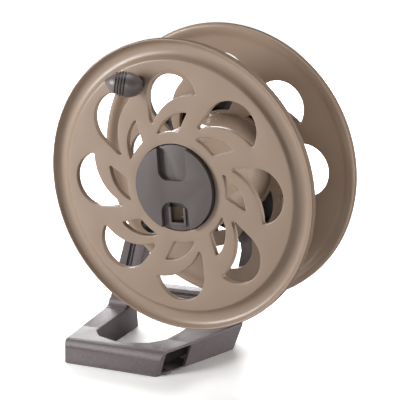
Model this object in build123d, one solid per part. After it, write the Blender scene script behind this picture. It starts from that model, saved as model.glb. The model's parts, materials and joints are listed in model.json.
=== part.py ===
from build123d import *
import os
from math import atan2, cos, degrees, radians, sin

# Garden hose reel on a cantilever wall bracket. Everything is drawn about the reel's
# own axis (x right, y back, z up, y = 0 half way between the discs) and moved to its
# place at the end. The part's origin is the middle of the wall screw pattern, on the
# bracket's mounting plane.

# ---- driving dimensions, mm ----
DISC_R = 216.0                 # side disc, outer radius
RIM_Y = 76.0                   # face plane of each disc, from the middle of the reel
AXIS_H = 306.0                 # reel axis above the mounting plane
WEB = 3.5                      # disc wall
FLANGE = 9.0                   # depth of the lips around the disc openings
RIM_DEPTH = 10.5               # depth of the gutter round the disc's edge
PETALS = 8                     # openings around each disc
DRUM_R = 78.0                  # hose drum, outer radius
WALL = 3.0                     # other moulded walls
SPINDLE_R = 18.0
RUN = 0.06                     # radial running clearance
PIPE_R, PIPE_BORE = 10.0, 6.0
THREAD_R = 13.3                # 3/4 in garden hose thread
LEG_Y0, LEG_Y1 = 90.0, 116.0   # front and back of the upright frame
BASE_FRONT = -68.0
ARM_H, BAR_H = 42.0, 38.0      # side arm and front bar heights
HOUSING_R = 108.0
CAP_R, CAP_FRONT = 63.5, -83.0
POCKET_R = 65.0                # round pocket behind the hub cap
SCREW_R, HEAD_R, HEAD_T = 2.0, 4.0, 2.5
SCREW_RING = 50.0              # disc screws, distance from the axis
WALL_X, WALL_Y = (-226.0, -66.0), (-46.0, 62.0)   # wall screw rows, reel coordinates
WALL_HOLE_R = 3.2

ORIGIN_X = sum(WALL_X) / 2
ORIGIN_Y = sum(WALL_Y) / 2
FLOOR = -AXIS_H

# knob: the pin of its fold, and the way it points when folded
KNOB_PIN = Vector(-45.3, -95.7, 153.2)
KNOB_TURN = 13.4               # its direction in the disc plane, above the -x axis
KNOB_LIFT = 24.0               # its rise off the disc
KNOB_LEN, KNOB_R, KNOB_SEAT = 57.0, 18.5, 15.0
POST_R, SHANK_R = 4.8, 4.0


def rod(r, y0, y1, x=0.0, z=0.0):
    """Cylinder along y."""
    return Pos(x, (y0 + y1) / 2, z) * Rot(90, 0, 0) * Cylinder(r, y1 - y0)


def post_z(r, z0, z1, x=0.0, y=0.0):
    """Cylinder along z."""
    return Pos(x, y, (z0 + z1) / 2) * Cylinder(r, z1 - z0)


def block(x0, x1, y0, y1, z0, z1):
    return Pos((x0 + x1) / 2, (y0 + y1) / 2, (z0 + z1) / 2) * Box(x1 - x0, y1 - y0, z1 - z0)


def slab(sketch, y0, y1):
    """A flat outline drawn in x and z, made solid from y0 to y1."""
    plane = Plane(origin=(0, y1, 0), x_dir=(1, 0, 0), z_dir=(0, -1, 0))
    return extrude(plane * sketch, y1 - y0)


def plate_z(points, z0, z1):
    """A plan outline made solid from z0 to z1."""
    return extrude(Pos(0, 0, z0) * make_face(Polyline(*points, close=True)), z1 - z0)


def polygon(*points):
    return make_face(Polyline(*points, close=True))


def around(shape, count, start=0.0):
    """Copies of a shape turned about the reel's axis."""
    return [Rot(0, start + 360.0 * k / count, 0) * shape for k in range(count)]


def save(name, *solids):
    to_part = Pos(-ORIGIN_X, -ORIGIN_Y, AXIS_H)
    placed = [solid for shape in solids for solid in (to_part * shape).solids()]
    whole = placed[0] if len(placed) == 1 else Compound(children=placed)
    whole.label = name
    export_step(whole, f"parts/{name}.step")


# ---- side discs ----
def window():
    """The large half-moon opening, in its upright position."""
    corner, left, tip_left, tip_right = (44.0, 137.0), (-36.8, 130.0), (-35.0, 96.0), (-31.0, 92.5)
    edges = [
        ThreePointArc(corner, (4.1, 171.5), left),
        Line(left, tip_left),
        Line(tip_left, tip_right),
        ThreePointArc(tip_right, (-1.0, 126.5), corner),
    ]
    return make_face(edges)


def leaf():
    """The small opening under each half moon."""
    left, tip, low = (-25.0, 78.2), (27.0, 111.0), (9.5, 81.5)
    edges = [
        ThreePointArc(left, (-2.0, 104.0), tip),
        Line(tip, low),
        ThreePointArc(low, (-8.0, 81.7), left),
    ]
    return make_face(edges)


def disc_section(inner_r):
    """Radius and depth outline of a disc: flat web, then a round gutter and its outer wall."""
    back = RIM_DEPTH
    edges = [
        Line((inner_r, 0), (185.5, 0)),
        ThreePointArc((185.5, 0), (187.6, 1.2), (188.6, 3.2)),
        ThreePointArc((188.6, 3.2), (201.0, 8.3), (212.2, 2.4)),
        Line((212.2, 2.4), (213.6, 0)),
        Line((213.6, 0), (DISC_R, 0)),
        Line((DISC_R, 0), (DISC_R, back)),
        Line((DISC_R, back), (202.0, back)),
        ThreePointArc((202.0, back), (191.5, 8.8), (186.5, WEB)),
        Line((186.5, WEB), (inner_r, WEB)),
        Line((inner_r, WEB), (inner_r, 0)),
    ]
    return make_face(edges)


def with_openings(body, face_y):
    """A disc with its lipped openings; the lips stand from face_y towards the back."""
    for opening in (window(), leaf()):
        lip = slab(offset(opening, WALL, kind=Kind.ARC), face_y, face_y + FLANGE)
        body += around(lip, PETALS)
    for opening in (window(), leaf()):
        body -= around(slab(opening, face_y - FLANGE, face_y + 2 * FLANGE), PETALS)
    return body


def front_disc():
    face = -RIM_Y
    floor_y = face + 20
    body = with_openings(Pos(0, face, 0) * revolve(disc_section(POCKET_R), Axis.Y), face)
    body += rod(POCKET_R + WALL, face, floor_y) - rod(POCKET_R, face - 1, floor_y - WALL)
    body -= rod(20, floor_y - 2 * WALL, floor_y + 1)
    body -= around(rod(SCREW_R + 0.2, floor_y - 2 * WALL, floor_y + 1, SCREW_RING), 4)
    x, z = KNOB_PIN.X, KNOB_PIN.Z
    body += rod(14, face, face + FLANGE, x, z)
    body -= rod(25, face - 1, face + 1.5, -65, 155)
    body += rod(11, face, face + 2, x, z)
    body -= rod(SHANK_R + RUN, face - 1, face + FLANGE + 1, x, z)
    return body


def rear_disc():
    blank = mirror(revolve(disc_section(22), Axis.Y), about=Plane.XZ)
    body = with_openings(Pos(0, RIM_Y + WEB, 0) * blank, RIM_Y)
    body -= around(rod(SCREW_R + 0.2, RIM_Y - 1, RIM_Y + 2 * WEB, SCREW_RING), 4, 45)
    return body


# ---- drum ----
OUTLET_Y, OUTLET_TURN = -45.0, 135.0      # outlet arm: distance along the axis, turn from +x
BULKHEAD_Y = -29.0


def outlet_reach(r, start, end):
    """Cylinder along the outlet arm, between two distances from the axis."""
    along = Pos((start + end) / 2, OUTLET_Y, 0) * Rot(0, 90, 0) * Cylinder(r, end - start)
    return Rot(0, OUTLET_TURN, 0) * along


def drum_front_half():
    start = -RIM_Y + WEB
    body = rod(DRUM_R, start, 0) - rod(DRUM_R - WALL, start - 1, 1)
    body += rod(DRUM_R - WALL, -8, 0) - rod(DRUM_R - 2 * WALL, -9, 1)
    body += rod(DRUM_R - WALL - 0.3, -1, 8) - rod(DRUM_R - 2 * WALL, -2, 9)
    body += rod(DRUM_R - 1, BULKHEAD_Y, BULKHEAD_Y + 4)
    body -= rod(22, BULKHEAD_Y - 1, BULKHEAD_Y + 5)
    body += around(rod(5, -RIM_Y + 20, BULKHEAD_Y, SCREW_RING), 4)
    body -= around(rod(SCREW_R, -RIM_Y + 19, BULKHEAD_Y - 6, SCREW_RING), 4)
    return body - outlet_reach(15, 40, DRUM_R + 10)


def drum_rear_half():
    body = rod(DRUM_R, 0, RIM_Y) - rod(DRUM_R - WALL, -1, RIM_Y + 1)
    body += rod(DRUM_R - 1, RIM_Y - 4, RIM_Y)
    body += block(-8, 8, 46, 62, DRUM_R - 1, DRUM_R + 5)
    body += around(rod(5, RIM_Y - 22, RIM_Y - 3, SCREW_RING), 4, 45)
    body -= around(rod(SCREW_R, RIM_Y - 20, RIM_Y + 1, SCREW_RING), 4, 45)
    return body - rod(22, RIM_Y - 5, RIM_Y + 1)


def screw(y_head, y_tip, x=0.0, z=0.0):
    """Pan-head screw along y, its head at y_head, its shank to y_tip."""
    way = 1 if y_tip > y_head else -1
    shank = rod(SCREW_R - 0.05, min(y_head, y_tip), max(y_head, y_tip), x, z)
    edge = y_head - way * HEAD_T
    head = rod(HEAD_R, min(y_head, edge), max(y_head, edge), x, z)
    slot = 0.6
    head -= block(x - HEAD_R, x + HEAD_R, min(edge, edge + way), max(edge, edge + way), z - slot, z + slot)
    return head + shank


def disc_screws_front():
    return around(screw(-RIM_Y + 17, BULKHEAD_Y - 8, SCREW_RING), 4)


def disc_screws_rear():
    return around(screw(RIM_Y + WEB, RIM_Y - 16, SCREW_RING), 4, 45)


def bush(y0, y1, flange_y0, flange_y1):
    body = rod(21.9, y0, y1) + rod(26, flange_y0, flange_y1)
    return body - rod(SPINDLE_R + RUN, y0 - 9, y1 + 9)


# ---- hub cap ----
def hub_cap():
    back = -RIM_Y + 14
    body = rod(CAP_R, CAP_FRONT, back) - rod(CAP_R - WALL, CAP_FRONT + WALL, back + 1)
    inside = rod(CAP_R - 1, CAP_FRONT, back)
    top = Pos(0, 45) * RectangleRounded(47, 66, 14)
    arch = Pos(0, -62) * RectangleRounded(45, 84, 22)
    for outline, floor_y in ((top, -75.0), (arch, -76.0)):
        walls = slab(offset(outline, 2.5, kind=Kind.ARC), CAP_FRONT, floor_y + 2.5)
        body += walls & inside
        body -= slab(outline, CAP_FRONT - 1, floor_y)
    body -= block(-10.5, 10.5, -80, -70, -52, -28)
    body -= block(-14, 14, -80, -70, -27, -19)
    return body


# ---- water way ----
def spindle():
    nose_y, flange_y = -34.0, LEG_Y0 - 3.5
    body = rod(SPINDLE_R, nose_y, LEG_Y0) + rod(40, flange_y, LEG_Y0)
    body += rod(SPINDLE_R, LEG_Y0 - 1, LEG_Y0 + 14)
    body -= rod(14, nose_y + 6, LEG_Y0 + 15)
    body -= rod(PIPE_R + 0.3, nose_y - 1, nose_y + 7)
    groove = rod(SPINDLE_R + 1, -33.0, -31.2) - rod(SPINDLE_R - 1.2, -34, -30)
    body -= groove
    body -= around(rod(SCREW_R + 0.2, flange_y - 1, LEG_Y0 + 1, 32), 4)
    return body


def retaining_ring():
    body = rod(22.5, -32.9, -31.3) - rod(SPINDLE_R - 1.1, -34, -30)
    return body - block(-6, 6, -34, -30, -30, 0)


PIPE_BACK, BEND_R, PIPE_END = 136.0, 18.0, -128.0


def inlet_pipe():
    path = Wire([
        Line((0, -52, 0), (0, PIPE_BACK - BEND_R, 0)),
        ThreePointArc(
            (0, PIPE_BACK - BEND_R, 0),
            (0, PIPE_BACK - BEND_R + BEND_R * sin(radians(45)), -BEND_R * (1 - cos(radians(45)))),
            (0, PIPE_BACK, -BEND_R)),
        Line((0, PIPE_BACK, -BEND_R), (0, PIPE_BACK, PIPE_END)),
    ])
    start = Plane(origin=(0, -52, 0), z_dir=(0, 1, 0))
    body = sweep(start * Circle(PIPE_R), path=path) - sweep(start * Circle(PIPE_BORE), path=path)
    body += post_z(12.6, PIPE_END, PIPE_END + 3, 0, PIPE_BACK) - post_z(
        PIPE_BORE, PIPE_END - 1, PIPE_END + 4, 0, PIPE_BACK)
    for y in (-48.0, -42.0):
        body -= rod(PIPE_R + 1, y - 1.5, y + 1.5) - rod(7.3, y - 2, y + 2)
    return body


def o_rings():
    return [Pos(0, y, 0) * Rot(90, 0, 0) * Torus(8.65, 1.35) for y in (-48.0, -42.0)]


def outlet_outline():
    """Radius and distance outline of the outlet arm, from the axis to its hose thread."""
    collar = DRUM_R + 2
    points = [(0, 2), (9, 2), (9, collar), (14.6, collar), (14.6, collar + 5), (THREAD_R, collar + 5)]
    for k in range(5):
        start = collar + 7.5 + 3 * k
        points += [(THREAD_R, start), (THREAD_R - 1.1, start), (THREAD_R - 1.1, start + 1.2),
                   (THREAD_R, start + 1.2)]
    points += [(THREAD_R, collar + 22), (0, collar + 22)]
    return make_face(Polyline(*points, close=True))


def outlet_tube():
    """Rotating elbow on the pipe's end, out through the drum to a hose thread."""
    arm = Pos(0, OUTLET_Y, 0) * Rot(0, 90, 0) * revolve(Plane.XZ * outlet_outline(), Axis.Z)
    bore = Pos(60, OUTLET_Y, 0) * Rot(0, 90, 0) * Cylinder(6.5, 100)
    body = rod(15, -55, -36) + arm - bore
    body -= rod(PIPE_R + RUN, -52.6, -30)
    return Rot(0, OUTLET_TURN, 0) * body


NUT_TOP, NUT_LOW = PIPE_END + 8.0, PIPE_END - 14.0


def inlet_nut():
    y = PIPE_BACK
    body = post_z(17.5, NUT_LOW, NUT_TOP, 0, y)
    body -= post_z(THREAD_R, NUT_LOW - 1, PIPE_END, 0, y)
    body -= post_z(THREAD_R + 0.8, PIPE_END - 3.4, PIPE_END + 3.2, 0, y)
    body -= post_z(PIPE_R + RUN, NUT_LOW, NUT_TOP + 1, 0, y)
    flute = post_z(1.6, NUT_LOW + 3, NUT_TOP + 1, 18.2, 0)
    for k in range(16):
        body -= Pos(0, y, 0) * Rot(0, 0, 22.5 * k) * flute
    return body


def inlet_washer():
    low, high = PIPE_END - 3.4, PIPE_END - 0.2
    return post_z(THREAD_R - 0.2, low, high, 0, PIPE_BACK) - post_z(7, low - 1, high + 1, 0, PIPE_BACK)


# ---- bracket ----
def base_frame():
    """Hollow U of the front bar and two side arms, open underneath."""
    back = LEG_Y1
    outer_left = [(-238, BASE_FRONT), (-257, back)]
    outer_right = [(-20, back), (0, 82), (-62, BASE_FRONT)]
    inner = [(-210, back), (-207, -10), (-192, -29), (-170, -38), (-146, -42), (-120, -38),
             (-97, -29), (-79, -9), (-72, 20), (-72, back)]
    ring = outer_left + inner + outer_right
    solid = plate_z(ring, FLOOR, FLOOR + ARM_H)
    rise = Plane.YZ * polygon(
        (BASE_FRONT - 1, FLOOR + BAR_H), (0, FLOOR + BAR_H), (30, FLOOR + ARM_H),
        (30, FLOOR + ARM_H + 5), (BASE_FRONT - 1, FLOOR + ARM_H + 5))
    solid -= extrude(Pos(-300, 0, 0) * rise, 400)
    front = solid.faces().sort_by(Axis.Y)[0]
    solid = fillet([e for e in front.edges() if e.center().Z > FLOOR + 1], 8)
    hollow = offset(make_face(Polyline(*ring, close=True)), -WALL, kind=Kind.INTERSECTION)
    cavity = extrude(Pos(0, 0, FLOOR - 1) * hollow, BAR_H - WALL + 1)
    cavity -= block(-300, 100, back - 26, back, FLOOR - 2, FLOOR + ARM_H)
    cavity -= block(-300, 100, BASE_FRONT, BASE_FRONT + 7, FLOOR + BAR_H - 12, FLOOR + ARM_H)
    solid -= cavity
    for x in WALL_X:
        for y in WALL_Y:
            pad = post_z(15, FLOOR, FLOOR + 4, x, y) & plate_z(ring, FLOOR, FLOOR + 4)
            solid += pad
            solid -= post_z(WALL_HOLE_R, FLOOR - 1, FLOOR + 5, x, y)
    side_window = Plane.XZ * polygon(
        (7, FLOOR + 4.2), (54, FLOOR + 4.2), (64, FLOOR + 34), (17, FLOOR + 34))
    cutter = extrude(side_window, 6, both=True)
    side_angle = degrees(atan2(82 - BASE_FRONT, 62))
    solid -= Pos(-62, BASE_FRONT, 0) * Rot(0, 0, side_angle) * cutter
    for x in (-236.0, -30.0):
        solid -= post_z(SCREW_R + 0.2, FLOOR - 1, FLOOR + ARM_H + 1, x, 103)
        solid -= post_z(HEAD_R + 1, FLOOR - 1, FLOOR + ARM_H - 8, x, 103)
    return solid


EAR_SCREWS = ((-134.0, -18.0), (-130.0, 4.0), (64.0, -104.0), (82.0, -84.0))


def with_ear_holes(leg, places):
    """Screw bosses in a leg's hollow back."""
    for x, z in places:
        leg += rod(6, LEG_Y0 + 3, LEG_Y1, x, z)
        leg -= rod(SCREW_R, LEG_Y1 - 14, LEG_Y1 + 1, x, z)
    return leg


def foot_fillet(x0, x1, r=10.0):
    """Concave fillet in front of a leg, where it rises from the arm."""
    top = FLOOR + ARM_H
    corner = block(x0, x1, LEG_Y0 - r, LEG_Y0, top, top + r)
    return corner - Pos((x0 + x1) / 2, LEG_Y0 - r, top + r) * Rot(0, 90, 0) * Cylinder(r, x1 - x0 + 2)


def left_leg():
    foot = FLOOR + ARM_H
    outline = polygon((-251, foot), (-212, foot), (-172, -160), (-150, -110), (-112, 40),
                      (-110, 58), (-60, 58), (-60, 74), (-118, 74), (-130, 64))
    body = slab(outline, LEG_Y0, LEG_Y1) - rod(HOUSING_R + 0.1, LEG_Y0 - 1, LEG_Y1 + 1)
    panel = polygon((-232, foot + 22), (-202, foot + 22), (-148, -85), (-122, 20), (-128, 45))
    body -= slab(offset(panel, -3, kind=Kind.INTERSECTION), LEG_Y0 + 6, LEG_Y1 + 1)
    groove = polygon((-228, foot + 12), (-218, foot + 12), (-132, 28), (-139, 28))
    body -= slab(groove, LEG_Y0 - 1, LEG_Y0 + 3)
    body += foot_fillet(-251, -212)
    body = with_ear_holes(body, EAR_SCREWS[:2])
    return body - post_z(SCREW_R, foot - 1, foot + 18, -236, 103)


def right_leg():
    foot = FLOOR + ARM_H
    outline = polygon((-38, foot), (-12, foot), (104, -56), (112, -20), (80, 0), (0, -80), (-30, -106),
                      (-6, -114), (8, -126), (9, -145), (0, -176), (-16, -210))
    body = slab(outline, LEG_Y0, LEG_Y1) - rod(HOUSING_R + 0.1, LEG_Y0 - 1, LEG_Y1 + 1)
    panel = polygon((-28, foot + 22), (-6, foot + 22), (72, -92), (24, -122))
    body -= slab(offset(panel, -3, kind=Kind.INTERSECTION), LEG_Y0 + 6, LEG_Y1 + 1)
    body += foot_fillet(-38, -12)
    body = with_ear_holes(body, EAR_SCREWS[2:])
    return body - post_z(SCREW_R, foot - 1, foot + 18, -30, 103)


RAIL_TOP, RAIL_LOW = -216.0, -238.0


def cross_rail():
    """Channel between the legs, with a rounded top lip and a lower ledge."""
    outline = polygon((-195.5, RAIL_LOW), (-29, RAIL_LOW), (-19.5, RAIL_TOP), (-196.5, RAIL_TOP))
    body = slab(outline, LEG_Y0 + 2, LEG_Y1)
    left, right = left_leg(), right_leg()
    body -= slab(polygon((-190, RAIL_LOW + 4), (-32, RAIL_LOW + 4), (-28, RAIL_TOP - 5),
                         (-190, RAIL_TOP - 5)), LEG_Y0, LEG_Y0 + 14)
    body -= left
    body -= right
    return body.solids().sort_by(SortBy.VOLUME)[-1]


def hub_housing():
    """Round pan that carries the spindle, with a wing to the left leg."""
    wing = polygon((-160, -118), (-60, -90), (-60, 40), (-111, 36), (-147.5, -110))
    body = rod(HOUSING_R, LEG_Y0, LEG_Y1) - rod(HOUSING_R - 4, LEG_Y0 + 4, LEG_Y1 + 1)
    side = slab(wing, LEG_Y0, LEG_Y1) - rod(HOUSING_R - 4, LEG_Y0 - 1, LEG_Y1 + 1)
    side -= slab(polygon((-251, -264), (-212, -264), (-172, -160), (-150, -110), (-112, 40),
                         (-110, 58), (-200, 58), (-251, 0)), LEG_Y0 - 1, LEG_Y1 + 1)
    body += side.solids().sort_by(SortBy.VOLUME)[-1]
    body += rod(30, LEG_Y0, LEG_Y0 + 14) - rod(SPINDLE_R + 0.2, LEG_Y0 - 1, LEG_Y1)
    body -= rod(SPINDLE_R + 0.2, LEG_Y0 - 1, LEG_Y1)
    body += around(rod(6, LEG_Y0, LEG_Y0 + 14, 32), 4)
    body -= around(rod(SCREW_R, LEG_Y0 - 1, LEG_Y0 + 12, 32), 4)
    body += around(rod(6, LEG_Y0, LEG_Y1, 84), 3, 30)
    body -= around(rod(SCREW_R, LEG_Y1 - 14, LEG_Y1 + 1, 84), 3, 30)
    ears = block(-140, -104, LEG_Y1, LEG_Y1 + 4, -30, 20)
    ears += slab(polygon((45, -104), (79, -64), (98, -79), (64, -119)), LEG_Y1, LEG_Y1 + 4)
    body += ears
    for x, z in EAR_SCREWS:
        body -= rod(SCREW_R + 0.2, LEG_Y1 - 1, LEG_Y1 + 5, x, z)
    return body


def spindle_screws():
    return around(screw(LEG_Y0 - 3.5, LEG_Y0 + 10, 32), 4)


def ear_screws():
    return [screw(LEG_Y1 + 4, LEG_Y1 - 6, x, z) for x, z in EAR_SCREWS]


def foot_screws():
    made = []
    for x in (-236.0, -30.0):
        head_z = FLOOR + ARM_H - 8
        made.append(post_z(HEAD_R, head_z - HEAD_T, head_z, x, 103)
                    + post_z(SCREW_R - 0.05, head_z, head_z + 22, x, 103))
    return made


def rear_cover():
    """Cup over the pipe bend, open below for the pipe."""
    back = LEG_Y1 + 36
    body = rod(96, LEG_Y1, back) - rod(96 - WALL, LEG_Y1 - 1, back - WALL)
    body = fillet(body.edges().group_by(Axis.Y)[-1], 8)
    body -= block(-13, 13, LEG_Y1 - 1, back - 4, -110, 0)
    body += around(rod(6, LEG_Y1, back - 2, 84), 3, 30)
    body -= around(rod(SCREW_R + 0.2, LEG_Y1 - 1, back + 1, 84), 3, 30)
    body -= around(rod(HEAD_R + 0.5, back - 6, back + 1, 84), 3, 30)
    return body


def cover_screws():
    return around(screw(LEG_Y1 + 30, LEG_Y1 - 12, 84), 3, 30)


# ---- crank knob ----
def knob_frame():
    """Folded knob's frame: x along the knob from its pin, y off the disc, z along the pin."""
    turn = radians(KNOB_TURN)
    lift = radians(KNOB_LIFT)
    way = Vector(-cos(turn) * cos(lift), -sin(lift), sin(turn) * cos(lift))
    pin = Vector(sin(turn), 0, cos(turn))
    return Plane(origin=KNOB_PIN, x_dir=way, z_dir=pin)


def grip_outline():
    """Half outline of the egg-shaped grip, as radius over length from its pin."""
    full = KNOB_LEN - KNOB_SEAT
    points = [(-KNOB_SEAT, 0), (-KNOB_SEAT + 1, 6), (-10, 12.5), (-2, 16.8), (11, KNOB_R),
              (24, 17.0), (34, 12.5), (full - 1.5, 5), (full, 0)]
    curve = Spline(*points[1:-1], tangents=[(0.25, 1), (0.4, -1)])
    start = Line(points[0], points[1])
    end = Line(points[-2], points[-1])
    return make_face([start, curve, end, Line(points[-1], points[0])])


def crank_knob():
    body = revolve(grip_outline(), Axis.X)
    for k in range(4):
        x = 11.0 + 4.1 * k
        body -= Pos(x, 0, 0) * Rot(0, 90, 0) * (Cylinder(30, 1.8) - Cylinder(KNOB_R - 3.0, 4))
    body -= slot_toward_disc()
    body -= post_z(2.05, -20, 20)
    return knob_frame() * body


def slot_toward_disc():
    """Room for the post on the side that faces the disc, and out of the grip's end."""
    wide = POST_R + 0.5
    folded = block(-9, 9, -KNOB_R - 8, wide, -wide, wide)
    open_end = block(-KNOB_SEAT - 5, 0, -KNOB_R - 8, wide, -wide, wide)
    return folded + open_end


def knob_pin():
    return knob_frame() * post_z(2.0, -14, 14)


def knob_post():
    """Swivel post: shank through the disc, head behind it, eye for the fold pin."""
    x, y, z = KNOB_PIN.X, KNOB_PIN.Y, KNOB_PIN.Z
    face = -RIM_Y
    body = rod(POST_R, y, face, x, z) + Pos(x, y, z) * Sphere(POST_R)
    body += rod(9, face - 2.1, face - 0.1, x, z)
    body += rod(SHANK_R, face - 1, face + FLANGE + 0.2, x, z)
    body += rod(8, face + FLANGE + 0.2, face + FLANGE + 2.4, x, z)
    return body - knob_frame() * post_z(2.1, -10, 10)


os.makedirs("parts", exist_ok=True)
save("front_disc", front_disc())
save("rear_disc", rear_disc())
save("drum_front_half", drum_front_half())
save("drum_rear_half", drum_rear_half())
save("front_disc_screws", *disc_screws_front())
save("rear_disc_screws", *disc_screws_rear())
save("front_bush", bush(-30, -22, BULKHEAD_Y + 4, BULKHEAD_Y + 6.5))
save("rear_bush", bush(70, 80, RIM_Y + WEB, RIM_Y + WEB + 2.5))
save("hub_cap", hub_cap())
save("spindle", spindle())
save("retaining_ring", retaining_ring())
save("inlet_pipe", inlet_pipe())
save("pipe_o_rings", *o_rings())
save("outlet_tube", outlet_tube())
save("inlet_nut", inlet_nut())
save("inlet_washer", inlet_washer())
save("base_frame", base_frame())
save("left_leg", left_leg())
save("right_leg", right_leg())
save("cross_rail", cross_rail())
save("hub_housing", hub_housing())
save("spindle_screws", *spindle_screws())
save("leg_screws", *ear_screws())
save("foot_screws", *foot_screws())
save("rear_cover", rear_cover())
save("rear_cover_screws", *cover_screws())
save("crank_knob", crank_knob())
save("knob_pin", knob_pin())
save("knob_post", knob_post())
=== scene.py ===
import bmesh
import bpy
import json
import math
from mathutils import Matrix, Vector
from mathutils.geometry import delaunay_2d_cdt


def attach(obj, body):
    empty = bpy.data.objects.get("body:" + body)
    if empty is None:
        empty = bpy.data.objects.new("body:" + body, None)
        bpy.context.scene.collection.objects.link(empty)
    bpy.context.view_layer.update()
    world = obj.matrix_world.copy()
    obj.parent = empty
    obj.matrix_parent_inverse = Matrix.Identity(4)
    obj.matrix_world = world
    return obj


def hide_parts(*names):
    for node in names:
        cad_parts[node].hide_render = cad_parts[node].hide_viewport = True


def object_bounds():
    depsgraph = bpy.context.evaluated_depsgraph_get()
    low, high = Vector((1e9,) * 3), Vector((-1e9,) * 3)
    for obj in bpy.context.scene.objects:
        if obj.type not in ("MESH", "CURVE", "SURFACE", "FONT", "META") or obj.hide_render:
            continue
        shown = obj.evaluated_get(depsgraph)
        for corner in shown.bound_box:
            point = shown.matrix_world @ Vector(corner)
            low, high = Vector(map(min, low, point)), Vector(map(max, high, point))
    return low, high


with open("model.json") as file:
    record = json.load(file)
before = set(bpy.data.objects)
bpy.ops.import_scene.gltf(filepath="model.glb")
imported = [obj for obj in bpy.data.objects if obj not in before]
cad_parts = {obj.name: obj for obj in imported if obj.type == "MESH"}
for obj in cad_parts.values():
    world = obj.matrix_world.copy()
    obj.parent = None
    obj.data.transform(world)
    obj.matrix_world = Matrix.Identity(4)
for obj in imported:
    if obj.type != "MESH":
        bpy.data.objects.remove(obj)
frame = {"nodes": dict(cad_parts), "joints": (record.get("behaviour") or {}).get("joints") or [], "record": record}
cad_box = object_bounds()
NODES = frame["nodes"]
JOINTS = {j["name"]: j for j in frame["joints"]}
# every piece is drawn in mm about the reel's axis: x to the side, y to the back, z up
HUB = Vector(JOINTS["reel_spin"]["pos_m"])
FLOOR = -HUB.z * 1000
TAU = 2 * math.pi


# ---------------------------------------------------------------- shader nodes
def feed(tree, socket, value):
    """Links a socket to another one, or sets its constant."""
    if isinstance(value, bpy.types.NodeSocket):
        tree.links.new(value, socket)
    else:
        socket.default_value = value


def node(tree, kind, *values, operation=None, data_type=None, **named):
    """A shader node whose inputs are fed by place or by name."""
    made = tree.nodes.new("ShaderNode" + kind)
    if operation:
        made.operation = operation
    if data_type:
        made.data_type = data_type
    for place, value in enumerate(values):
        feed(tree, made.inputs[place], value)
    for name, value in named.items():
        feed(tree, made.inputs[name.replace("_", " ")], value)
    return made


def remap(tree, value, **limits):
    return node(tree, "MapRange", Value=value, **limits).outputs["Result"]


def product(tree, a, b):
    return node(tree, "Math", a, b, operation="MULTIPLY").outputs[0]


def scaled(tree, color, amount):
    return node(tree, "VectorMath", color, operation="SCALE", Scale=amount).outputs["Vector"]


def mixed(tree, factor, a, b):
    return node(tree, "Mix", data_type="RGBA", Factor=factor, A=a, B=b).outputs["Result"]


def shade(color, factor, lift=0.0):
    return (*[min(1.0, c * factor + lift) for c in color], 1)


# ---------------------------------------------------------------- materials
DRIFT_SCALE, CLOUD_SCALE = 9.0, 60.0       # slow colour drift and finer cloudiness
EDGE_FROM, EDGE_TO = 0.53, 0.68            # pointiness where the paler edges, partly wear and partly painted highlight, begin and are full
GRAIN_DEPTH = 0.0004
SKIRT_RADIUS, SKIRT_BLEND = 0.2155, 0.0003


def plastic(name, color, rough, grain=0.25, grain_scale=900.0, blotch=0.06, edge_wear_and_highlight=0.12, speck=0.0):
    """Moulded plastic: slow colour drift, fine grain in bump and roughness, paler edges that are partly wear and
    partly painted highlight.
    """
    mat = bpy.data.materials.new(name)
    mat.use_nodes = True
    tree = mat.node_tree
    place = node(tree, "TexCoord").outputs["Object"]

    def noise(scale, detail, falloff=0.5):
        made = node(tree, "TexNoise", Vector=place, Scale=scale, Detail=detail, Roughness=falloff)
        return made.outputs["Fac"]

    drift = noise(DRIFT_SCALE, 4.0)
    fine = noise(grain_scale, 3.0, 0.65)
    cloud = noise(CLOUD_SCALE, 5.0, 0.6)
    blend = remap(tree, drift, From_Min=0.3, From_Max=0.7)
    base = mixed(tree, blend, shade(color, 1 - blotch), shade(color, 1 + blotch))
    # paler edges: wear, and painted highlight where edges would catch the light
    corner = node(tree, "NewGeometry").outputs["Pointiness"]
    edge = remap(tree, corner, From_Min=EDGE_FROM, From_Max=EDGE_TO)
    broken = product(tree, product(tree, edge, edge_wear_and_highlight), cloud)
    surface = mixed(tree, broken, base, shade(color, 1.9, 0.04))
    if speck:
        dots = noise(grain_scale * 0.8, 1.0, 0.3)
        spots = remap(tree, dots, From_Min=0.35, From_Max=0.65, To_Min=1 - speck, To_Max=1 + speck)
        surface = scaled(tree, surface, spots)
    inputs = tree.nodes["Principled BSDF"].inputs
    feed(tree, inputs["Base Color"], surface)
    feed(tree, inputs["Roughness"], remap(tree, cloud, To_Min=rough - 0.06, To_Max=rough + 0.08))
    bump = node(tree, "Bump", Strength=grain, Distance=GRAIN_DEPTH, Height=fine)
    feed(tree, inputs["Normal"], bump.outputs["Normal"])
    return mat


def metal(name, color, rough):
    """Zinc-plated steel with fine turning marks and slight tarnish."""
    mat = plastic(name, color, rough, grain=0.15, grain_scale=1400.0, blotch=0.12, edge_wear_and_highlight=0.3)
    mat.node_tree.nodes["Principled BSDF"].inputs["Metallic"].default_value = 1.0
    return mat


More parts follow.
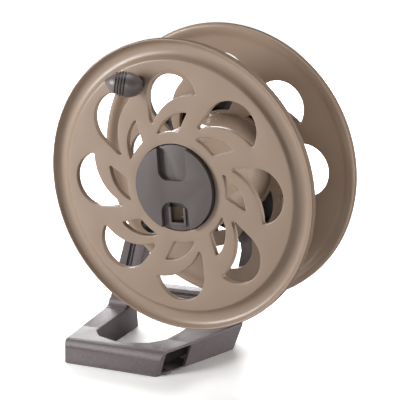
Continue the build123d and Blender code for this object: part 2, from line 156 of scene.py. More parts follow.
def paint_skirt_shade(mat):
    """Past the skirt's radius from the reel's axis the colour is darkened as painted shade, and the surface loses
    its shine.
    """
    tree = mat.node_tree
    inputs = tree.nodes["Principled BSDF"].inputs
    place = node(tree, "TexCoord").outputs["Object"]
    off = node(tree, "VectorMath", place, HUB, operation="SUBTRACT").outputs["Vector"]
    flat = node(tree, "VectorMath", off, (1, 0, 1), operation="MULTIPLY").outputs["Vector"]
    distance = node(tree, "VectorMath", flat, operation="LENGTH").outputs["Value"]

    def graded(low, high):
        return remap(tree, distance, From_Min=SKIRT_RADIUS - SKIRT_BLEND, From_Max=SKIRT_RADIUS,
                     To_Min=low, To_Max=high)

    color = inputs["Base Color"].links[0].from_socket
    # painted shade: the skirt's colour is darkened to 0.62 of the disc's
    feed(tree, inputs["Base Color"], scaled(tree, color, graded(1.0, 0.62)))
    feed(tree, inputs["Specular IOR Level"], graded(0.5, 0.0))


TAN, DRUM_TAN = (0.348, 0.252, 0.187), (0.36, 0.265, 0.20)
GREY, KNOB_GREY = (0.140, 0.114, 0.117), (0.150, 0.122, 0.116)
CAP_TAUPE = (0.105, 0.085, 0.083)
BLACK, RUBBER = (0.018, 0.018, 0.019), (0.02, 0.02, 0.02)
IVORY, ZINC = (0.62, 0.60, 0.55), (0.55, 0.55, 0.53)
M = {
    # the tan disc's strong edge paling paints the highlights along its lips and rim
    "disc_plastic": plastic("tan_moulded_plastic", TAN, 0.34, grain=0.12, blotch=0.03, edge_wear_and_highlight=0.45),
    "drum_plastic": plastic("tan_drum_plastic", DRUM_TAN, 0.24, grain=0.08, blotch=0.03, edge_wear_and_highlight=0.0),
    "cap_plastic": plastic("cap_taupe_plastic", CAP_TAUPE, 0.40, grain=0.2, blotch=0.05),
    "bracket_plastic": plastic("bracket_stippled_plastic", GREY, 0.46, grain=0.75,
                               grain_scale=620.0, blotch=0.06, edge_wear_and_highlight=0.15, speck=0.12),
    "knob_plastic": plastic("knob_plastic", KNOB_GREY, 0.33, grain=0.25, blotch=0.05),
    "black_plastic": plastic("black_plastic", BLACK, 0.4, grain=0.3, blotch=0.15),
    "bearing_plastic": plastic("bearing_plastic", IVORY, 0.35, grain=0.15),
    "rubber": plastic("black_rubber", RUBBER, 0.75, grain=0.4, blotch=0.2),
    "zinc_steel": metal("zinc_steel", ZINC, 0.32),
}
paint_skirt_shade(M["disc_plastic"])


# ---------------------------------------------------------------- outlines
def arc3(a, m, b, step=1.8):
    """Points along the arc from a through m to b, b left out."""
    ax, ay = a
    bx, by = m
    cx, cy = b
    d = 2 * (ax * (by - cy) + bx * (cy - ay) + cx * (ay - by))
    ux = ((ax * ax + ay * ay) * (by - cy) + (bx * bx + by * by) * (cy - ay)
          + (cx * cx + cy * cy) * (ay - by)) / d
    uy = ((ax * ax + ay * ay) * (cx - bx) + (bx * bx + by * by) * (ax - cx)
          + (cx * cx + cy * cy) * (bx - ax)) / d
    r = math.hypot(ax - ux, ay - uy)
    t0, tm, t1 = (math.atan2(y - uy, x - ux) for x, y in (a, m, b))
    turn = (t1 - t0) % TAU
    if (tm - t0) % TAU > turn:
        turn -= TAU
    n = max(3, int(abs(turn) * r / step))
    return [(ux + r * math.cos(t0 + turn * k / n), uy + r * math.sin(t0 + turn * k / n))
            for k in range(n)]


def line(a, b, step=1.8):
    """Points along the line from a to b, b left out."""
    n = max(1, int(math.dist(a, b) / step))
    return [(a[0] + (b[0] - a[0]) * k / n, a[1] + (b[1] - a[1]) * k / n) for k in range(n)]


def soften(points, rounds):
    """Rounds the corners of a closed line by repeated averaging."""
    for _ in range(rounds):
        n = len(points)
        points = [tuple(0.25 * a + 0.5 * b + 0.25 * c for a, b, c in
                        zip(points[k - 1], points[k], points[(k + 1) % n])) for k in range(n)]
    return points


def signed_area(points):
    n = len(points)
    return 0.5 * sum(points[k][0] * points[(k + 1) % n][1] - points[(k + 1) % n][0] * points[k][1]
                     for k in range(n))


def grow(points, d):
    """A closed line moved outwards by d along its normals."""
    way = 1 if signed_area(points) > 0 else -1
    n = len(points)
    out = []
    for k in range(n):
        tx = points[(k + 1) % n][0] - points[k - 1][0]
        ty = points[(k + 1) % n][1] - points[k - 1][1]
        s = math.hypot(tx, ty) or 1
        out.append((points[k][0] + way * ty / s * d, points[k][1] - way * tx / s * d))
    return out


def spun(points, degrees):
    """An outline turned about the hub."""
    c, s = math.cos(math.radians(degrees)), math.sin(math.radians(degrees))
    return [(x * c + z * s, -x * s + z * c) for x, z in points]


def inside(p, ring):
    """Whether a point lies within a closed line."""
    x, y = p
    hit = False
    for (x0, y0), (x1, y1) in zip([ring[-1], *ring], ring):
        if (y0 > y) != (y1 > y) and x < (x1 - x0) * (y - y0) / (y1 - y0) + x0:
            hit = not hit
    return hit


def circle(r, n=288):
    return [(r * math.cos(TAU * k / n), r * math.sin(TAU * k / n)) for k in range(n)]


def oblong(x0, x1, y0, y1):
    return [(x0, y0), (x1, y0), (x1, y1), (x0, y1)]


STRAIGHT = math.radians(88)


def fillet(points, radii, n=6):
    """A polygon with each corner rounded to its own radius, as n + 1 points a corner."""
    out = []
    count = len(points)
    for k in range(count):
        p, r = Vector(points[k]), radii[k]
        a = (Vector(points[k - 1]) - p).normalized()
        b = (Vector(points[(k + 1) % count]) - p).normalized()
        half = math.acos(max(-1, min(1, a.dot(b)))) / 2
        if half > STRAIGHT:
            out.append(tuple(p))
            continue
        reach = r / math.tan(half)
        middle = p + (a + b).normalized() * (r / math.sin(half))
        start, end = p + a * reach - middle, p + b * reach - middle
        t0, t1 = math.atan2(start.y, start.x), math.atan2(end.y, end.x)
        turn = (t1 - t0 + math.pi) % TAU - math.pi
        out += [(middle.x + r * math.cos(t0 + turn * j / n),
                 middle.y + r * math.sin(t0 + turn * j / n)) for j in range(n + 1)]
    return out


# ---------------------------------------------------------------- meshes
WELD = 1e-6
SHARP = 38.0        # degrees past which an edge is shaded sharp


def clean_mesh(name, verts, faces):
    """A mesh from points in mm about the hub, welded and with its faces turned outwards."""
    mesh = bpy.data.meshes.new(name)
    mesh.from_pydata([HUB + Vector(v) / 1000 for v in verts], [], faces)
    mesh.validate()
    bm = bmesh.new()
    bm.from_mesh(mesh)
    bmesh.ops.remove_doubles(bm, verts=bm.verts, dist=WELD)
    bmesh.ops.recalc_face_normals(bm, faces=bm.faces)
    bm.to_mesh(mesh)
    bm.free()
    return mesh


def finish_piece(name, mesh, body, slot_name, replaced=(), sharp=SHARP):
    """An object for a mesh, with its shading, material, body, slot and replaced CAD nodes."""
    mesh.shade_smooth()
    mesh.set_sharp_from_angle(angle=math.radians(sharp))
    ob = bpy.data.objects.new(name, mesh)
    bpy.context.scene.collection.objects.link(ob)
    mesh.materials.clear()
    mesh.materials.append(M[slot_name])
    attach(ob, body)
    if replaced:
        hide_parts(*replaced)


def build(name, verts, faces, body, slot_name, replaced=(), sharp=SHARP):
    """A piece straight from points and faces."""
    finish_piece(name, clean_mesh(name, verts, faces), body, slot_name, replaced, sharp)


class Shell:
    """Gathers points and faces of one piece; outlines are (x, z) and depth is y."""

    def __init__(self):
        self.verts, self.faces = [], []

    def ring(self, outline, y):
        start = len(self.verts)
        self.verts += [(x, y, z) for x, z in outline]
        return list(range(start, len(self.verts)))

    def loft(self, rings):
        for a, b in zip(rings, rings[1:]):
            n = len(a)
            self.faces += [(a[k], a[(k + 1) % n], b[(k + 1) % n], b[k]) for k in range(n)]

    def plate(self, outer, holes=(), flat=(0, 2)):
        """Triangles between one closed ring of points and the rings of its holes."""
        u, v = flat
        ids, pts, edges, loops, starts = [], [], [], [], []
        for ring in [outer, *holes]:
            start, n = len(pts), len(ring)
            ids += ring
            pts += [Vector((self.verts[i][u], self.verts[i][v])) for i in ring]
            edges += [(start + k, start + (k + 1) % n) for k in range(n)]
            loops.append([(p.x, p.y) for p in pts[start:]])
            starts.append(start)
        made = delaunay_2d_cdt(pts, edges, [], 0, 1e-5)
        coords, triangles, origin = made[0], made[2], made[3]

        def loop_of(i):
            return max(j for j, start in enumerate(starts) if start <= i)

        for tri in triangles:
            if not all(origin[i] for i in tri):
                continue
            src = [origin[i][0] for i in tri]
            which = {loop_of(i) for i in src}
            if len(which) == 1:
                middle = (sum(coords[i].x for i in tri) / 3, sum(coords[i].y for i in tri) / 3)
                j = which.pop()
                if inside(middle, loops[j]) != (j == 0):
                    continue
            self.faces.append(tuple(ids[i] for i in src))


def lathe_rings(shell, profile, n=288):
    """Rings about the reel's axis for (radius, depth) points."""
    return [shell.ring(circle(r, n), y) for r, y in profile]


def lathe(name, profile, body, slot_name, replaced, n=160):
    """A ring-shaped solid about the reel's axis, from its closed (radius, depth) outline."""
    sh = Shell()
    rings = lathe_rings(sh, profile, n)
    sh.loft([*rings, rings[0]])
    build(name, sh.verts, sh.faces, body, slot_name, replaced)


def prism(outline, axis, low, high):
    """Points and faces of a closed straight solid: its outline lies across the named axis."""
    place = {"x": lambda a, b, t: (t, a, b), "y": lambda a, b, t: (a, t, b),
             "z": lambda a, b, t: (a, b, t)}[axis]
    n = len(outline)
    verts = [place(a, b, low) for a, b in outline] + [place(a, b, high) for a, b in outline]
    faces = [(k, (k + 1) % n, n + (k + 1) % n, n + k) for k in range(n)]
    return verts, faces + [tuple(range(n)), tuple(range(2 * n - 1, n - 1, -1))]


def tube(r, low, high, axis="y", at=(0, 0), n=64):
    """A plain cylinder as (points, faces)."""
    return prism([(at[0] + a, at[1] + b) for a, b in circle(r, n)], axis, low, high)


def raw(name, parts):
    """A plain mesh object from one or more (points, faces)."""
    verts, faces = [], []
    for v, f in parts:
        faces += [tuple(i + len(verts) for i in face) for face in f]
        verts += v
    ob = bpy.data.objects.new(name, clean_mesh(name, verts, faces))
    bpy.context.scene.collection.objects.link(ob)
    return ob


def carved(name, parts, body, slot_name, replaced=(), add=(), cut=(), width=1.0, segments=3,
           sharp=SHARP):
    """A solid with others added to and cut from it, then its edges rounded."""
    ob = raw(name + "_raw", parts)
    tools = []
    for kind, group in (("UNION", add), ("DIFFERENCE", cut)):
        for shape in group:
            tool = raw("tool", [shape])
            tools.append(tool)
            mod = ob.modifiers.new("bool", "BOOLEAN")
            mod.operation, mod.object, mod.solver = kind, tool, "EXACT"
    if width:
        mod = ob.modifiers.new("bevel", "BEVEL")
        mod.width, mod.segments, mod.limit_method = width / 1000, segments, "ANGLE"
        mod.angle_limit = math.radians(40)
    bpy.context.view_layer.update()
    done = ob.evaluated_get(bpy.context.evaluated_depsgraph_get())
    mesh = bpy.data.meshes.new_from_object(done)
    mesh.name = name
    for temp in [ob, *tools]:
        bpy.data.objects.remove(temp)
    finish_piece(name, mesh, body, slot_name, replaced, sharp)


# ---------------------------------------------------------------- side discs
FACE_F, FACE_R = -76.0, 76.0        # outer face of the front disc, inner face of the rear one
WEB, FLANGE = 3.5, 9.0              # plate thickness, height of the lips round the openings
PETALS = 8
BORE_R = 22.0

# (outward shift, depth) across a lip, from the face over the lip to the back of the plate
LIP = [(1.7, 0.0), (1.05, 0.08), (0.5, 0.3), (0.16, 0.7), (0.0, 1.3), (0.0, 8.3), (0.3, 8.8),
       (0.8, FLANGE), (2.2, FLANGE), (2.7, 8.8), (3.0, 8.3), (3.0, 4.7), (3.3, 3.9), (4.1, WEB)]
# (radius, depth) across each rim, from the face's gutter over the edge to the back of the plate
RIM = [(184.4, 0.0), (185.8, 0.2), (187.0, 0.9), (188.1, 2.1), (189.5, 3.9), (191.4, 5.7),
       (193.8, 7.1), (197.0, 8.0), (201.0, 8.3), (205.0, 7.9), (208.0, 6.8), (210.4, 5.0),
       (212.0, 2.9), (213.0, 1.1), (213.6, 0.3), (214.3, 0.0), (215.1, 0.0), (215.7, 0.3),
       (216.0, 0.9), (216.0, 9.6), (215.7, 10.2), (215.1, 10.5), (204.0, 10.5), (199.0, 10.4),
       (195.0, 9.9), (191.6, 8.6), (188.9, 6.6), (187.0, 4.8), (185.0, 3.8), (182.4, WEB)]
REAR_RIM = [(198.4, 0.0), (199.4, 0.2), (200.5, 0.9), (201.6, 2.1), (203.0, 3.8), (204.6, 5.4),
            (206.6, 6.5), (208.6, 6.7), (210.4, 5.6), (212.0, 3.2), (213.0, 1.1), (213.6, 0.3),
            (214.3, 0.0), (215.1, 0.0), (215.7, 0.3), (216.0, 0.9), (216.0, 6.2), (215.5, 8.0),
            (214.2, 9.5), (212.2, 10.3), (209.6, 10.5), (206.6, 10.0), (203.8, 8.8),
            (201.2, 7.1), (198.6, 5.5), (195.8, 4.4), (192.4, 3.8), (188.0, WEB)]
# (radius, depth) of the round pocket that takes the cap
POCKET = [(66.4, FACE_F), (65.5, -75.8), (65.1, -75.2), (65.0, -74.4), (65.0, -59.0),
          (20.0, -59.0), (20.0, -56.0), (68.0, -56.0), (68.0, -71.0), (68.4, -72.2),
          (69.4, FACE_F + WEB)]


def window():
    """The half-moon opening at the top of a disc."""
    corner, left, tip_a, tip_b = (44.0, 137.0), (-36.8, 130.0), (-35.0, 96.0), (-31.0, 92.5)
    pts = arc3(corner, (4.1, 171.5), left) + line(left, tip_a) + line(tip_a, tip_b)
    return soften(pts + arc3(tip_b, (-1.0, 126.5), corner), 3)


def leaf():
    """The small opening between the top half-moon and the hub."""
    left, tip, low = (-25.0, 78.2), (27.0, 111.0), (9.5, 81.5)
    pts = arc3(left, (-2.0, 104.0), tip) + line(tip, low) + arc3(low, (-8.0, 81.7), left)
    return soften(pts, 2)


def disc(name, face_y, replaced, inner, turned=False):
    """Openwork disc: plates, lipped openings, rounded rim, and an inner edge as a profile."""
    sh = Shell()
    front_holes, back_holes = [], []
    for base in (window(), leaf()):
        for k in range(PETALS):
            rings = [sh.ring(spun(grow(base, d), 360 / PETALS * k), face_y + y) for d, y in LIP]
            sh.loft(rings)
            front_holes.append(rings[0])
            back_holes.append(rings[-1])
    profile = [(r, WEB - y) for r, y in REAR_RIM] if turned else RIM
    rim = lathe_rings(sh, [(r, face_y + y) for r, y in profile])
    sh.loft(rim)
    core = lathe_rings(sh, inner, 192)
    sh.loft(core)
    first, last = (rim[-1], rim[0]) if turned else (rim[0], rim[-1])
    sh.plate(first, front_holes + [core[0]])
    sh.plate(last, back_holes + [core[-1]])
    build(name, sh.verts, sh.faces, "reel", "disc_plastic", [replaced], sharp=40)


disc("front_disc_moulding", FACE_F, "front_disc", POCKET)
disc("rear_disc_moulding", FACE_R, "rear_disc", [(BORE_R, FACE_R), (BORE_R, FACE_R + WEB)],
     turned=True)

# ---------------------------------------------------------------- drum
DRUM_R, DRUM_BORE = 78.0, 75
drum_edge = [(DRUM_BORE, -72.4), (DRUM_R + 1.2, -72.4), (DRUM_R + 0.3, -71.6), (DRUM_R, -70.6),
             (DRUM_R, -0.8), (DRUM_R - 0.8, -0.3), (DRUM_BORE, -0.3)]
lathe("drum_front", drum_edge, "reel", "drum_plastic", ["drum_front_half"])
carved("drum_rear", [prism(circle(DRUM_R, 144), "y", 0.3, 75.9)], "reel", "drum_plastic",
       ["drum_rear_half"], add=[prism(oblong(-8, 8, 70, 83), "y", 46, 62)],
       cut=[prism(circle(DRUM_BORE, 144), "y", -1, 80), prism(oblong(-5, 5, 79, 90), "y", 49, 59)],
       width=0.8, segments=2)

# ---------------------------------------------------------------- hub cap
CAP_R, CAP_Y, RECESS_Y = 63.5, -83.0, -75.0
THROUGH = (-90, -60)        # depth range that cuts right through the cap


def cap_notch(half, end, r, way):
    """Outline of a recess open at the cap's edge; way is 1 for the upper one, -1 for the lower."""
    far = 80 * way
    return fillet([(-half, far), (-half, end), (half, end), (half, far)], [0.1, r, r, 0.1], 10)


hole = fillet(oblong(-10.5, 10.5, -52, -28), [1.5] * 4, 3)
gap = fillet([(-14, -28.5), (14, -28.5), (12, -19.5), (-12, -19.5)], [1, 1, 4, 4], 4)
carved("hub_cap_cover", [prism(circle(CAP_R, 180), "y", CAP_Y, RECESS_Y)], "reel", "cap_plastic",
       ["hub_cap"], cut=[prism(cap_notch(23.5, 12, 14, 1), "y", *THROUGH),
                         prism(cap_notch(23.0, -20, 17, -1), "y", *THROUGH)],
       width=1.3, segments=4)
carved("hub_cap_floor", [prism(circle(CAP_R - 0.05, 180), "y", RECESS_Y, -62.2)], "reel",
       "cap_plastic", cut=[prism(circle(CAP_R - 3, 120), "y", -72, -60),
                           prism(hole, "y", *THROUGH), prism(gap, "y", *THROUGH)],
       width=0.5, segments=2)
frame_out = fillet(oblong(-14, 14, -57, -28.4), [3, 3, 1, 1], 4)
carved("hub_cap_window_frame", [prism(frame_out, "y", -77.5, -74.9)], "reel", "cap_plastic",
       cut=[prism(hole, "y", *THROUGH)], width=0.7, segments=2)
# a black sheet behind the cap's gap, painting the shade that fills it
gap_shade_sheet = prism(fillet(oblong(-15, 15, -30, -17), [1] * 4, 2), "y", -70.5, -69.0)
build("hub_cap_gap_shade", *gap_shade_sheet, "reel", "black_plastic")

# ---------------------------------------------------------------- crank knob
TURN, LIFT = math.radians(13.4), math.radians(24.0)
PIN = (Vector(JOINTS["knob_fold"]["pos_m"]) - HUB) * 1000
ALONG = Vector((-math.cos(TURN) * math.cos(LIFT), -math.sin(LIFT), math.sin(TURN) * math.cos(LIFT)))
ACROSS = Vector((math.sin(TURN), 0, math.cos(TURN)))
OFF = ACROSS.cross(ALONG)
KNOB_BASE, KNOB_LENGTH, KNOB_R = -15, 56.5, 18.5
KNOB_DROP = 1.5                     # the grip's middle lies this far below the pin's
WIDEST = 0.47                       # where along its length the grip is thickest
GROOVES, GROOVE_FROM, GROOVE_STEP = 4, 11.0, 4.1
GROOVE_HALF, GROOVE_DEPTH = 1.25, 2.6
SLOT_HALF = 5.1


def knob_place(points):
    """Points given along, off and across the grip, put where it rests."""
    return [PIN + ALONG * a + OFF * b + ACROSS * c for a, b, c in points]


def knob_profile():
    """Length from the pin and radius of the grip, from its base end to its tip."""
    pts = []
    for k in range(61):
        s = k / 60
        blunt = max(0.0, 1 - ((WIDEST - s) / WIDEST) ** 2) ** 0.5 if s < WIDEST else 1.0
        past = (s - WIDEST) / 0.53
        taper = 1.0 if s < WIDEST else max(0.0, 1 - past ** 2.3) ** 0.92
        pts.append((KNOB_BASE + KNOB_LENGTH * s, KNOB_R * blunt * taper))
    return pts


def grooved(x, r):
    """The grip's radius with its ring grooves."""
    for k in range(GROOVES):
        d = abs(x - (GROOVE_FROM + GROOVE_STEP * k))
        if d < GROOVE_HALF:
            return r - GROOVE_DEPTH * (1 - (d / GROOVE_HALF) ** 4)
    return r


def knob_shell(profile, n=96):
    """Points and faces of a body turned about the grip's axis; it may close at its ends."""
    verts, faces, rings = [], [], []
    for x, r in profile:
        if r < 1e-3:
            rings.append([len(verts)])
            verts.append((x, 0, 0))
        else:
            rings.append(list(range(len(verts), len(verts) + n)))
            verts += [(x, a, b) for a, b in circle(r, n)]
    for a, b in zip(rings, rings[1:]):
        for k in range(n):
            j = (k + 1) % n
            if len(a) == 1:
                faces.append((a[0], b[k], b[j]))
            elif len(b) == 1:
                faces.append((b[0], a[k], a[j]))
            else:
                faces.append((a[k], a[j], b[j], b[k]))
    return knob_place([(a, b, c - KNOB_DROP) for a, b, c in verts]), faces


def groove_shade_band(x, smooth):
    """A dark band lining one groove, as painted shade."""
    r = max(rr for xx, rr in smooth if abs(xx - x) < 1.0)
    low, high = r - 4.0, r - 1.9
    return knob_shell([(x - 1.0, low), (x - 1.0, high), (x + 1.0, high), (x + 1.0, low),
                       (x - 1.0, low)])


smooth = knob_profile()
fine = [(x0 + (x1 - x0) * j / 6, r0 + (r1 - r0) * j / 6)
        for (x0, r0), (x1, r1) in zip(smooth, smooth[1:]) for j in range(6)] + [smooth[-1]]
fine = [(x, grooved(x, r) if r > 6 else r) for x, r in fine]
slot_points, slot_faces = prism([(-30, -40), (8, -40), (8, SLOT_HALF), (-30, SLOT_HALF)], "z",
                                -SLOT_HALF, SLOT_HALF)
slot_cut = (knob_place(slot_points), slot_faces)
carved("crank_grip", [knob_shell(fine)], "knob_grip", "knob_plastic", ["crank_knob"],
       cut=[slot_cut], width=0, sharp=50)
# dark bands in the grip's grooves: painted shade
carved("grip_groove_shade_bands", [groove_shade_band(GROOVE_FROM + GROOVE_STEP * k, smooth)
                             for k in range(GROOVES)],
       "knob_grip", "black_plastic", cut=[slot_cut], width=0)

# ---------------------------------------------------------------- bracket foot
ARM_TOP = FLOOR + 42
BAR_FRONT, BAR_TOP = -68.0, 38.0
BAR_ROUND, BAR_LEAN = 14.0, 4.0
EDGE_ROUND = 2.2
PAD_R, PAD_HEIGHT, HOLE_R = 13.5, 4, 3.2

# the foot's outline as (x, y, corner radius): the U's inner edge, then on the floor and at the top
WELL = [(-210, 116, 6), (-207, -14, 9), (-190, -31, 6), (-146, -43, 40), (-99, -31, 9),
        (-79, -10, 12), (-73, 24, 20), (-73, 116, 3)]
LOW_PLAN = [(-240, -68, 12), (-257, 116, 4), *WELL, (-32, 116, 3), (-7, 73, 4), (-65, -68, 8)]
TOP_PLAN = [(-236, -68, 12), (-254, 116, 4), *WELL, (-12, 116, 3), (5.5, 88, 4), (-58, -68, 8)]


def arm_height(y):
    """Height of the foot's sloping top."""
    return 38 + 4 * (y + 50) / 166


def plan(points):
    return fillet([(x, y) for x, y, r in points], [r for x, y, r in points], 7)


def base_solid(inset, low, drop, front):
    """The U of the foot as a loft between its floor and top outlines."""
    sh = Shell()
    a, b = plan(LOW_PLAN), plan(TOP_PLAN)
    if inset:
        a, b = grow(a, -inset), grow(b, -inset)

    def ring(t, pull, sink):
        pts = [(p[0] + (q[0] - p[0]) * t, max(front, p[1] + (q[1] - p[1]) * t))
               for p, q in zip(a, b)]
        inner = grow(pts, -1.0) if pull else pts
        start = len(sh.verts)
        for (x, y), (gx, gy) in zip(pts, inner):
            y1 = y + (gy - y) * pull * EDGE_ROUND
            z = FLOOR + arm_height(y1) - drop - sink * EDGE_ROUND
            sh.verts.append((x + (gx - x) * pull * EDGE_ROUND, y1, z if t > 0 else FLOOR + low))
        return list(range(start, len(sh.verts)))

    rings = [ring(0, 0, 0)]
    turns = [math.pi / 2 * k / 6 for k in range(7)] if not inset else [math.pi / 2]
    for angle in turns:
        rings.append(ring(1.0, (1 - math.cos(angle)) if not inset else 0, 1 - math.sin(angle)))
    sh.loft(rings)
    sh.plate(rings[0], flat=(0, 1))
    sh.plate(rings[-1], flat=(0, 1))
    return sh.verts, sh.faces


def front_shave():
    """What is taken off the front bar to leave its leaning face and round upper edge."""
    turn_y, turn_z = BAR_FRONT + BAR_LEAN + BAR_ROUND, BAR_TOP - BAR_ROUND
    pts = [(-95, FLOOR - 5), (BAR_FRONT - 1.4, FLOOR - 5)]
    for k in range(13):
        t = math.pi / 2 * k / 12
        pts.append((turn_y - BAR_ROUND * math.cos(t), FLOOR + turn_z + BAR_ROUND * math.sin(t)))
    pts += [(turn_y + 0.01, FLOOR + 60), (-95, FLOOR + 60)]
    return prism(pts, "x", -300, 60)


def side_window():
    """The cutter of the opening in the foot's right side, set along that side."""
    side = math.atan2(156, 63)
    c, s = math.cos(side), math.sin(side)
    low, high = FLOOR + 2.2, FLOOR + 35.2
    verts, faces = prism(fillet([(7, low), (55, low), (66.5, high), (17.5, high)],
                                [2, 2, 2, 4], 4), "y", -22, 18)
    return [(-65 + x * c - y * s, BAR_FRONT + x * s + y * c, z) for x, y, z in verts], faces


seams = [prism(oblong(-262, -204, -3.3, -2.9), "z", FLOOR + 38.8, FLOOR + 50),
         prism(oblong(-82, -20, -9.0, -8.6), "z", FLOOR + 38.6, FLOOR + 50)]
carved("bracket_foot", [base_solid(0, 0, 0, -99)], "bracket", "bracket_plastic", ["base_frame"],
       cut=[front_shave(), base_solid(3.0, -1.0, 3.0, -50), side_window(), *seams], width=0.6,
       segments=2, sharp=30)
spread = [(-66, -60), (-37.5, 8), (-70, 8), (-76, -11), (-96, -35), (-125, -43), (-125, -60)]
carved("foot_pocket_floor", [prism(spread, "z", FLOOR + 0.2, FLOOR + 2.2)], "bracket",
       "bracket_plastic", cut=[tube(HOLE_R, FLOOR - 1, FLOOR + 5, "z", (-66, -46), 24)], width=0)
screw_places = [(x, y) for x in (-226, -66) for y in (-46, 62)]
carved("wall_screw_pads",
       [tube(PAD_R, FLOOR, FLOOR + PAD_HEIGHT, "z", at, 40) for at in screw_places],
       "bracket", "bracket_plastic",
       cut=[tube(HOLE_R, FLOOR - 1, FLOOR + 5, "z", at, 24) for at in screw_places],
       width=0.4, segments=2)

# ---------------------------------------------------------------- legs and rail
LEG_Y0, LEG_Y1 = 90, 116
LEG_FOOT = ARM_TOP - 0.5            # the legs reach a little into the foot
FOOT_ROUND = 12
housing_room = tube(108.2, 80, 130, n=128)

LEFT = [(-251.5, LEG_FOOT), (-210, LEG_FOOT), (-172, -160), (-150, -110), (-112, 40), (-110, 56),
        (-60, 56), (-60, 74), (-116, 74), (-131, 62)]
groove_l = [(-229, ARM_TOP + 14), (-223, ARM_TOP + 14), (-134, 20), (-140, 20)]
rest_l = [(-223, ARM_TOP + 6), (-200, ARM_TOP + 6), (-160, -140), (-120, 20), (-134, 20)]
carved("left_leaning_leg", [prism(LEFT, "y", LEG_Y0, LEG_Y1)], "bracket", "bracket_plastic",
       ["left_leg"], cut=[housing_room, prism(groove_l, "y", 80, 94), prism(rest_l, "y", 80, 92)],
       width=3.0, segments=4)
RIGHT = [(-38, LEG_FOOT), (-12, LEG_FOOT), (104, -56), (112, -20), (80, 0), (0, -80), (-30, -106),
         (-6, -114), (8, -126), (9.5, -145), (1, -176), (-16, -212)]
carved("right_leaning_leg", [prism(RIGHT, "y", LEG_Y0, LEG_Y1)], "bracket", "bracket_plastic",
       ["right_leg"], cut=[housing_room], width=3.0, segments=4)


def foot_fillet(name, x0, x1):
    """The hollow curve where a leg's front meets the top of the foot."""
    arc = [(LEG_Y0 - FOOT_ROUND + FOOT_ROUND * math.sin(t),
            ARM_TOP + FOOT_ROUND - FOOT_ROUND * math.cos(t))
           for t in [math.pi / 2 * k / 10 for k in range(11)]]
    profile = [(LEG_Y0 + 2, ARM_TOP - 1), (LEG_Y0 - FOOT_ROUND, ARM_TOP - 1), *arc,
               (LEG_Y0 + 2, ARM_TOP + FOOT_ROUND)]
    carved(name, [prism(profile, "x", x0, x1)], "bracket", "bracket_plastic", width=0)


foot_fillet("left_foot_fillet", -249, -213)
foot_fillet("right_foot_fillet", -36, -14)

RAIL = [(98, -241), (98, -236), (94, -236), (94, -233.5), (102, -233.5), (102, -230), (95, -230),
        (93.2, -228.5), (93, -226.5), (94.5, -224.6), (97, -224), (115.2, -224), (115.2, -241)]
carved("cross_rail_channel", [prism(RAIL, "x", -206, -14)], "bracket", "bracket_plastic",
       ["cross_rail"], width=0.6, segments=2)

# ---------------------------------------------------------------- camera
AZ, EL, ROLL = math.radians(30.47), math.radians(15.13), math.radians(-4.06)
CAMERA_AT = HUB + Vector((0.9679, -1.6548, 0.4802))
LENS, SENSOR = 119.7, 36.0

look = Vector((-math.sin(AZ) * math.cos(EL), math.cos(AZ) * math.cos(EL), -math.sin(EL)))
right = look.cross(Vector((0, 0, 1))).normalized()
up = right.cross(look)
r_axis = right * math.cos(ROLL) + up * math.sin(ROLL)
u_axis = up * math.cos(ROLL) - right * math.sin(ROLL)
camera = bpy.data.objects.new("camera", bpy.data.cameras.new("camera"))
bpy.context.scene.collection.objects.link(camera)
camera.matrix_world = Matrix((*zip(r_axis, u_axis, -look, CAMERA_AT), (0, 0, 0, 1)))
camera.data.lens = LENS
camera.data.sensor_width = SENSOR
bpy.context.scene.camera = camera

# ---------------------------------------------------------------- light
# name, place and aim from the hub in m, size in m, power in W
LAMPS = [("key", (-1.9, -1.7, 0.75), (0, 0, 0), (0.8, 1.0), 64),
         ("top", (0.2, 0.3, 2.2), (0, 0, 0), (1.6, 1.2), 28),
         ("front", (1.2, -2.4, 0.35), (0, 0, 0), (1.0, 1.0), 12),
         ("side", (2.1, 0.5, 0.1), (0, 0, 0), (0.7, 1.1), 36),
         ("back", (-1.5, 2.1, 0.75), (-0.15, 0, -0.2), (1.8, 1.1), 62)]
SEEN_WORLD = 20.0                   # strength at which the world looks white to the camera


def area(name, place, aim, size, power):
    lamp = bpy.data.lights.new(name, "AREA")
    lamp.shape = "RECTANGLE"
    lamp.size, lamp.size_y = size
    lamp.energy = power
    ob = bpy.data.objects.new(name, lamp)
    bpy.context.scene.collection.objects.link(ob)
    ob.location = HUB + Vector(place)
    aimed = (HUB + Vector(aim)) - (HUB + Vector(place))
    ob.rotation_euler = aimed.to_track_quat("-Z", "Y").to_euler()


for lamp_values in LAMPS:
    area(*lamp_values)

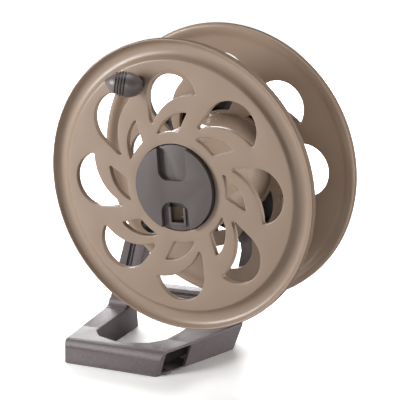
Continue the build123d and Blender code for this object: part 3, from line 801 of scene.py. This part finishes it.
world = bpy.data.worlds.new("studio")
bpy.context.scene.world = world
world.use_nodes = True
tree = world.node_tree
paths = node(tree, "LightPath")
around = node(tree, "TexCoord")
split = node(tree, "SeparateXYZ", around.outputs["Generated"])
behind = remap(tree, split.outputs["Y"], From_Min=-0.5, From_Max=0.6, To_Min=0.12, To_Max=1.0)
pick = node(tree, "Mix", Factor=paths.outputs["Is Camera Ray"], A=behind, B=SEEN_WORLD)
feed(tree, tree.nodes["Background"].inputs["Strength"], pick.outputs["Result"])
bpy.context.scene.view_settings.view_transform = "Standard"

# ---------------------------------------------------------------- floor
FLOOR_HALF, FLOOR_GAP = 30.0, 0.0004
FLOOR_LIT, FLOOR_SEEN = (0.45, 0.45, 0.45, 1), (1.3, 1.3, 1.3, 1)
GLOW_FROM, GLOW_FULL = 0.35, 1.3    # the floor turns white between these distances from the reel

floor_mesh = bpy.data.meshes.new("floor")
corners = oblong(-FLOOR_HALF, FLOOR_HALF, -FLOOR_HALF, FLOOR_HALF)
floor_mesh.from_pydata([(x, y, 0) for x, y in corners], [], [(0, 1, 2, 3)])
floor = bpy.data.objects.new("floor", floor_mesh)
bpy.context.scene.collection.objects.link(floor)
floor.location = (0, 0, cad_box[0][2] - FLOOR_GAP)
floor_mat = bpy.data.materials.new("pale_floor")
floor_mat.use_nodes = True
tree = floor_mat.node_tree
inputs = tree.nodes["Principled BSDF"].inputs
inputs["Roughness"].default_value = 0.5
inputs["Emission Color"].default_value = (1, 1, 1, 1)
seen = node(tree, "LightPath")
feed(tree, inputs["Base Color"],
     mixed(tree, seen.outputs["Is Camera Ray"], FLOOR_LIT, FLOOR_SEEN))
spot_at = node(tree, "TexCoord").outputs["Object"]
reach = node(tree, "VectorMath", spot_at, (HUB.x, HUB.y, 0), operation="DISTANCE")
fade = remap(tree, reach.outputs["Value"], From_Min=GLOW_FROM, From_Max=GLOW_FULL)
mirrored = node(tree, "Math", seen.outputs["Is Camera Ray"], seen.outputs["Is Glossy Ray"],
                operation="MAXIMUM")
feed(tree, inputs["Emission Strength"], product(tree, mirrored.outputs[0], fade))
floor_mesh.materials.append(floor_mat)

# ---------------------------------------------------------------- carried-over CAD nodes
slots = {s["node"]: s["material_slot"] for s in frame["record"]["subparts"]}
for node_name, ob in NODES.items():
    ob.data.materials.clear()
    ob.data.materials.append(M[slots[node_name]])
